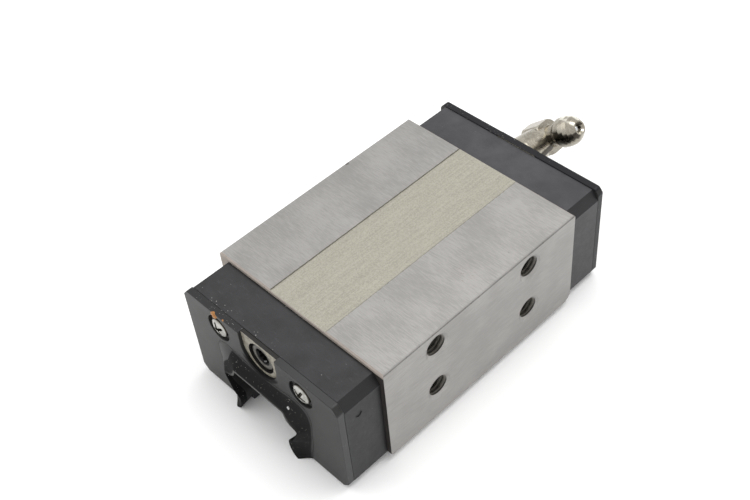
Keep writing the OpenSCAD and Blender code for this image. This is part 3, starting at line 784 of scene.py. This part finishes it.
def seal_lip(side):
    """The lip: it flares from the face to its edge, turns there and runs back to the end plate."""
    root, edge, throat = seal_profiles()
    wide = [(x + LIP_WALL, z + LIP_WALL) for x, z in edge]
    lowest = cad_low.z / MM + 0.001
    rings = []

    def ring(start, end, share, y):
        """Adds the outline that is a share of the way from start to end, cut off at the CAD box's floor."""
        half = []
        for a, b in zip(start, end):
            x, z = (u + (v - u) * share for u, v in zip(a, b))
            half.append((x, max(z, lowest)))
        rings.append([(x, side * y, z) for x, z in rounded_line(symmetric(half))])

    ring(root, root, 0, PLATE_END)
    ring(root, root, 0, SEAL_END)
    for step in (0.12, 0.3, 0.5, 0.7, 0.88):
        ring(root, wide, step, SEAL_END + (LIP_END - SEAL_END) * step ** 1.35)
    ring(wide, wide, 0, LIP_END - 0.08)
    ring(wide, edge, 0.3, LIP_END)
    ring(wide, edge, 0.75, LIP_END)
    ring(edge, edge, 0, LIP_END - 0.1)
    for step in (0.3, 0.65):
        ring(edge, throat, step, LIP_END + (PLATE_END - LIP_END) * step)
    ring(throat, throat, 0, PLATE_END)
    columns = len(rings[0])
    points = [p for line in rings for p in line]
    faces = grid_faces(len(rings), columns, closed_rows=True)
    faces += [tuple(i * columns for i in range(len(rings)))]
    faces += [tuple(i * columns + columns - 1 for i in reversed(range(len(rings))))]
    return points, faces


def bar(low, high, y1, y2, edge):
    """A straight bar across the notch, between two heights."""
    reach = NOTCH_R + 0.1
    return sheet_from([[(-reach, low), (reach, low), (reach, high), (-reach, high)]], y1, y2, edge)


def end_seal(name, node, side, top, corners, extras):
    """Rubber seal of one end: side is -1 or 1, and corners are the upper ones' radius, width and height."""
    parts = [seal_sheet(side, top, *corners), seal_lip(side), *extras]
    piece(name, *joined(*parts), "seal_rubber", node, crisp=50)


strap_low = REAR_RIM_TOP - 0.11
rear_strap = [
    bar(strap_low, REAR_RIM_TOP - 0.01, PLATE_END, SEAL_END, 0.03),
    bar(strap_low - 0.6, strap_low + 0.04, CORE_END + 0.03, SEAL_END - 0.02, 0.08),
]
end_seal("front_seal_rubber", "front_seal", -1, seal_high.z, (0.6, 1.2, 1.5), [grease_dab()])
end_seal("rear_seal_rubber", "rear_seal", 1, REAR_RIM_TOP, (0.9, 0.9, 1.1), rear_strap)


# ---------- screws, plug and threads ----------

def pan_screw(place, axis, shank_l, turn):
    """Pan head screw with a tapered cross recess, from the head's underside at the place."""
    shank_r = 1.45
    arm, arm_half_w, depth, soft = 1.42, 0.36, 0.8, 0.1

    def recess(radius, height, angle):
        if radius > arm + soft or height < 0:
            return radius, height
        x, y = radius * math.cos(angle), radius * math.sin(angle)
        cut = 0.0
        for along, aside in ((x, y), (y, x)):
            inside = min(arm - abs(along), arm_half_w - abs(aside) * (1 + 0.25 * abs(along)))
            share = min(max(inside / soft, 0), 1)
            taper = 1 - 0.6 * (abs(along) / arm) ** 1.5
            cut = max(cut, depth * taper * share * share * (3 - 2 * share))
        return radius, height - cut

    profile = [(0.0001, -shank_l), (shank_r - 0.3, -shank_l), (shank_r, 0.3 - shank_l), (shank_r, 0)]
    profile += [(SCREW_HEAD_R - 0.04, 0), (SCREW_HEAD_R, 0.04), (SCREW_HEAD_R, 0.12)]
    rings = 30
    for i in range(rings + 1):
        radius = (SCREW_HEAD_R - 0.06) * (1 - i / rings)
        height = SCREW_HEAD_H - SCREW_DOME_R + math.sqrt(SCREW_DOME_R ** 2 - radius ** 2)
        profile.append((max(radius, 0.0001), height))
    return turned(profile, frame_at(place, axis, turn), 120, recess)


def screws(name, node, side, turns):
    """The pair of screws at one end, each with its own turn in degrees."""
    shank_l = CORE_END - BLOCK_END + 8
    heads = [
        pan_screw((x, side * SCREW_SEAT, SCREW_Z), (0, side, 0), shank_l, turn)
        for x, turn in zip((-SCREW_X, SCREW_X), turns)
    ]
    piece(name, *joined(*heads), "screw_steel", node, crisp=60)


screws("front_screw_pair", "front_screws", -1, (28, 62))
screws("rear_screw_pair", "rear_screws", 1, (10, 75))


def port_plug():
    """Set screw with a hexagon socket in the front grease port."""
    length = plug_high.y - plug_low.y
    across_flats, socket_l, rim = 3.0, 2.6, 0.45

    def hexagon(radius, height, angle):
        """Makes the socket's rings six-sided."""
        if radius > 1.95 or radius < 0.01:
            return radius, height
        away = (math.degrees(angle) + 30) % 60 - 30
        flat = across_flats / 2 / math.cos(math.radians(away))
        return (flat if radius < 1.6 else max(flat + 0.02, radius)), height

    profile = [
        (0.0001, -socket_l - 0.5), (1.5, -socket_l), (1.5, -0.42), (1.72, -0.24), (1.86, -0.04), (1.96, 0),
        (PLUG_R - rim, 0), (PLUG_R - rim * 0.55, -0.06), (PLUG_R - rim * 0.2, -0.2), (PLUG_R, -rim),
        (PLUG_R, rim - length), (PLUG_R - rim, -length), (0.0001, -length),
    ]
    around = frame_at((0, plug_low.y, PORT_Z), (0, -1, 0), 12)
    piece("front_port_set_screw", *turned(profile, around, 72, hexagon), "plug_steel", "front_port_plug")


port_plug()


def thread_groove(place, axis, inner_r, outer_r, steps=36):
    """A helical groove's cutting shape, nearly triangular in section, from the place along the axis."""
    around = frame_at(place, axis)
    half, flat = THREAD_PITCH * 0.44, THREAD_PITCH * 0.06
    section = [(inner_r, -half), (outer_r, -flat), (outer_r, flat), (inner_r, half)]
    points = []
    total = int(THREAD_L / THREAD_PITCH * steps)
    for i in range(total + 1):
        angle = 2 * math.pi * i / steps
        for radius, offset in section:
            height = THREAD_PITCH * i / steps + offset
            points.append(around @ Vector((radius * math.cos(angle), radius * math.sin(angle), height)))
    faces = grid_faces(total + 1, 4, closed_columns=True)
    return points, faces + [(3, 2, 1, 0), tuple(total * 4 + k for k in range(4))]


def cut_threads():
    """Cuts a thread in each side hole with a modifier, from a hidden cutting shape."""
    cutters = [
        thread_groove((BLOCK_HALF_W - 0.1, y, z), (-1, 0, 0), HOLE_R - 0.12, HOLE_R + 0.36)
        for y, z in HOLES
    ]
    points, faces = joined(*cutters)
    cutter = placed("thread_cutter", mesh_from("thread_cutter", points, faces, finishes["ground_steel"]))
    cutter.hide_render = True
    cutter.hide_viewport = True
    block = cad_nodes["carriage_block"]
    block.modifiers.new("closed", "WELD").merge_threshold = 0.0002 * MM
    cut = block.modifiers.new("threads", "BOOLEAN")
    cut.operation = "DIFFERENCE"
    cut.solver = "EXACT"
    cut.object = cutter
    block.modifiers.new("crisp", "EDGE_SPLIT").split_angle = math.radians(25)


cut_threads()


# ---------- camera, light and floor ----------

def make_camera():
    """The camera, from its azimuth, elevation and roll in degrees and what it looks at."""
    azimuth, elevation, roll = (math.radians(a) for a in (49.83, 46.08, -6.15))
    look_at = Vector((-9.22, 1.95, 11)) * MM
    distance = 228.4 * MM
    back = Vector((
        math.sin(azimuth) * math.cos(elevation),
        -math.cos(azimuth) * math.cos(elevation),
        math.sin(elevation),
    ))
    data = bpy.data.cameras.new("camera")
    data.lens = 54.94
    data.sensor_width = 36
    data.clip_start = 0.01
    data.clip_end = 20
    camera = placed("camera", data)
    camera.location = look_at + back * distance
    level = (-back).to_track_quat("-Z", "Y").to_matrix()
    camera.rotation_euler = (level @ Matrix.Rotation(roll, 3, "Z")).to_euler()
    bpy.context.scene.camera = camera


def area_light(name, place, size, power):
    """A soft light that faces the middle of the block."""
    data = bpy.data.lights.new(name, "AREA")
    data.shape = "RECTANGLE"
    data.size, data.size_y = (s * MM for s in size)
    data.energy = power
    light = placed(name, data)
    light.location = Vector(place) * MM
    direction = (Vector((0, 0, 10)) - Vector(place)).normalized()
    light.rotation_euler = direction.to_track_quat("-Z", "Y").to_euler()


def make_world():
    """Even white light from all round."""
    world = bpy.data.worlds.new("studio")
    world.use_nodes = True
    background = world.node_tree.nodes["Background"]
    background.inputs["Color"].default_value = (1.0, 1.0, 1.0, 1)
    background.inputs["Strength"].default_value = 1.0
    bpy.context.scene.world = world


def make_floor():
    """A plain pale floor under the carriage."""
    half = 3
    mesh = bpy.data.meshes.new("floor")
    corners = [(x * half, y * half, cad_low.z) for x, y in ((-1, -1), (1, -1), (1, 1), (-1, 1))]
    mesh.from_pydata(corners, [], [(0, 1, 2, 3)])
    floor = placed("floor", mesh)
    f = Finish("floor_paper")
    colour = f.mix(f.noise(0.02, 3, 0.5), (0.95, 0.95, 0.95), (0.97, 0.97, 0.965))
    mesh.materials.append(f.done(colour, 0.9, f.bump(f.noise(2.0, 3, 0.6), 0.05, 0.02)))


make_camera()
make_world()
area_light("key", (60, 200, 560), (420, 420), 1.6)
area_light("fill", (-380, -240, 380), (500, 400), 0.7)
make_floor()
bpy.context.scene.view_settings.view_transform = "Standard"
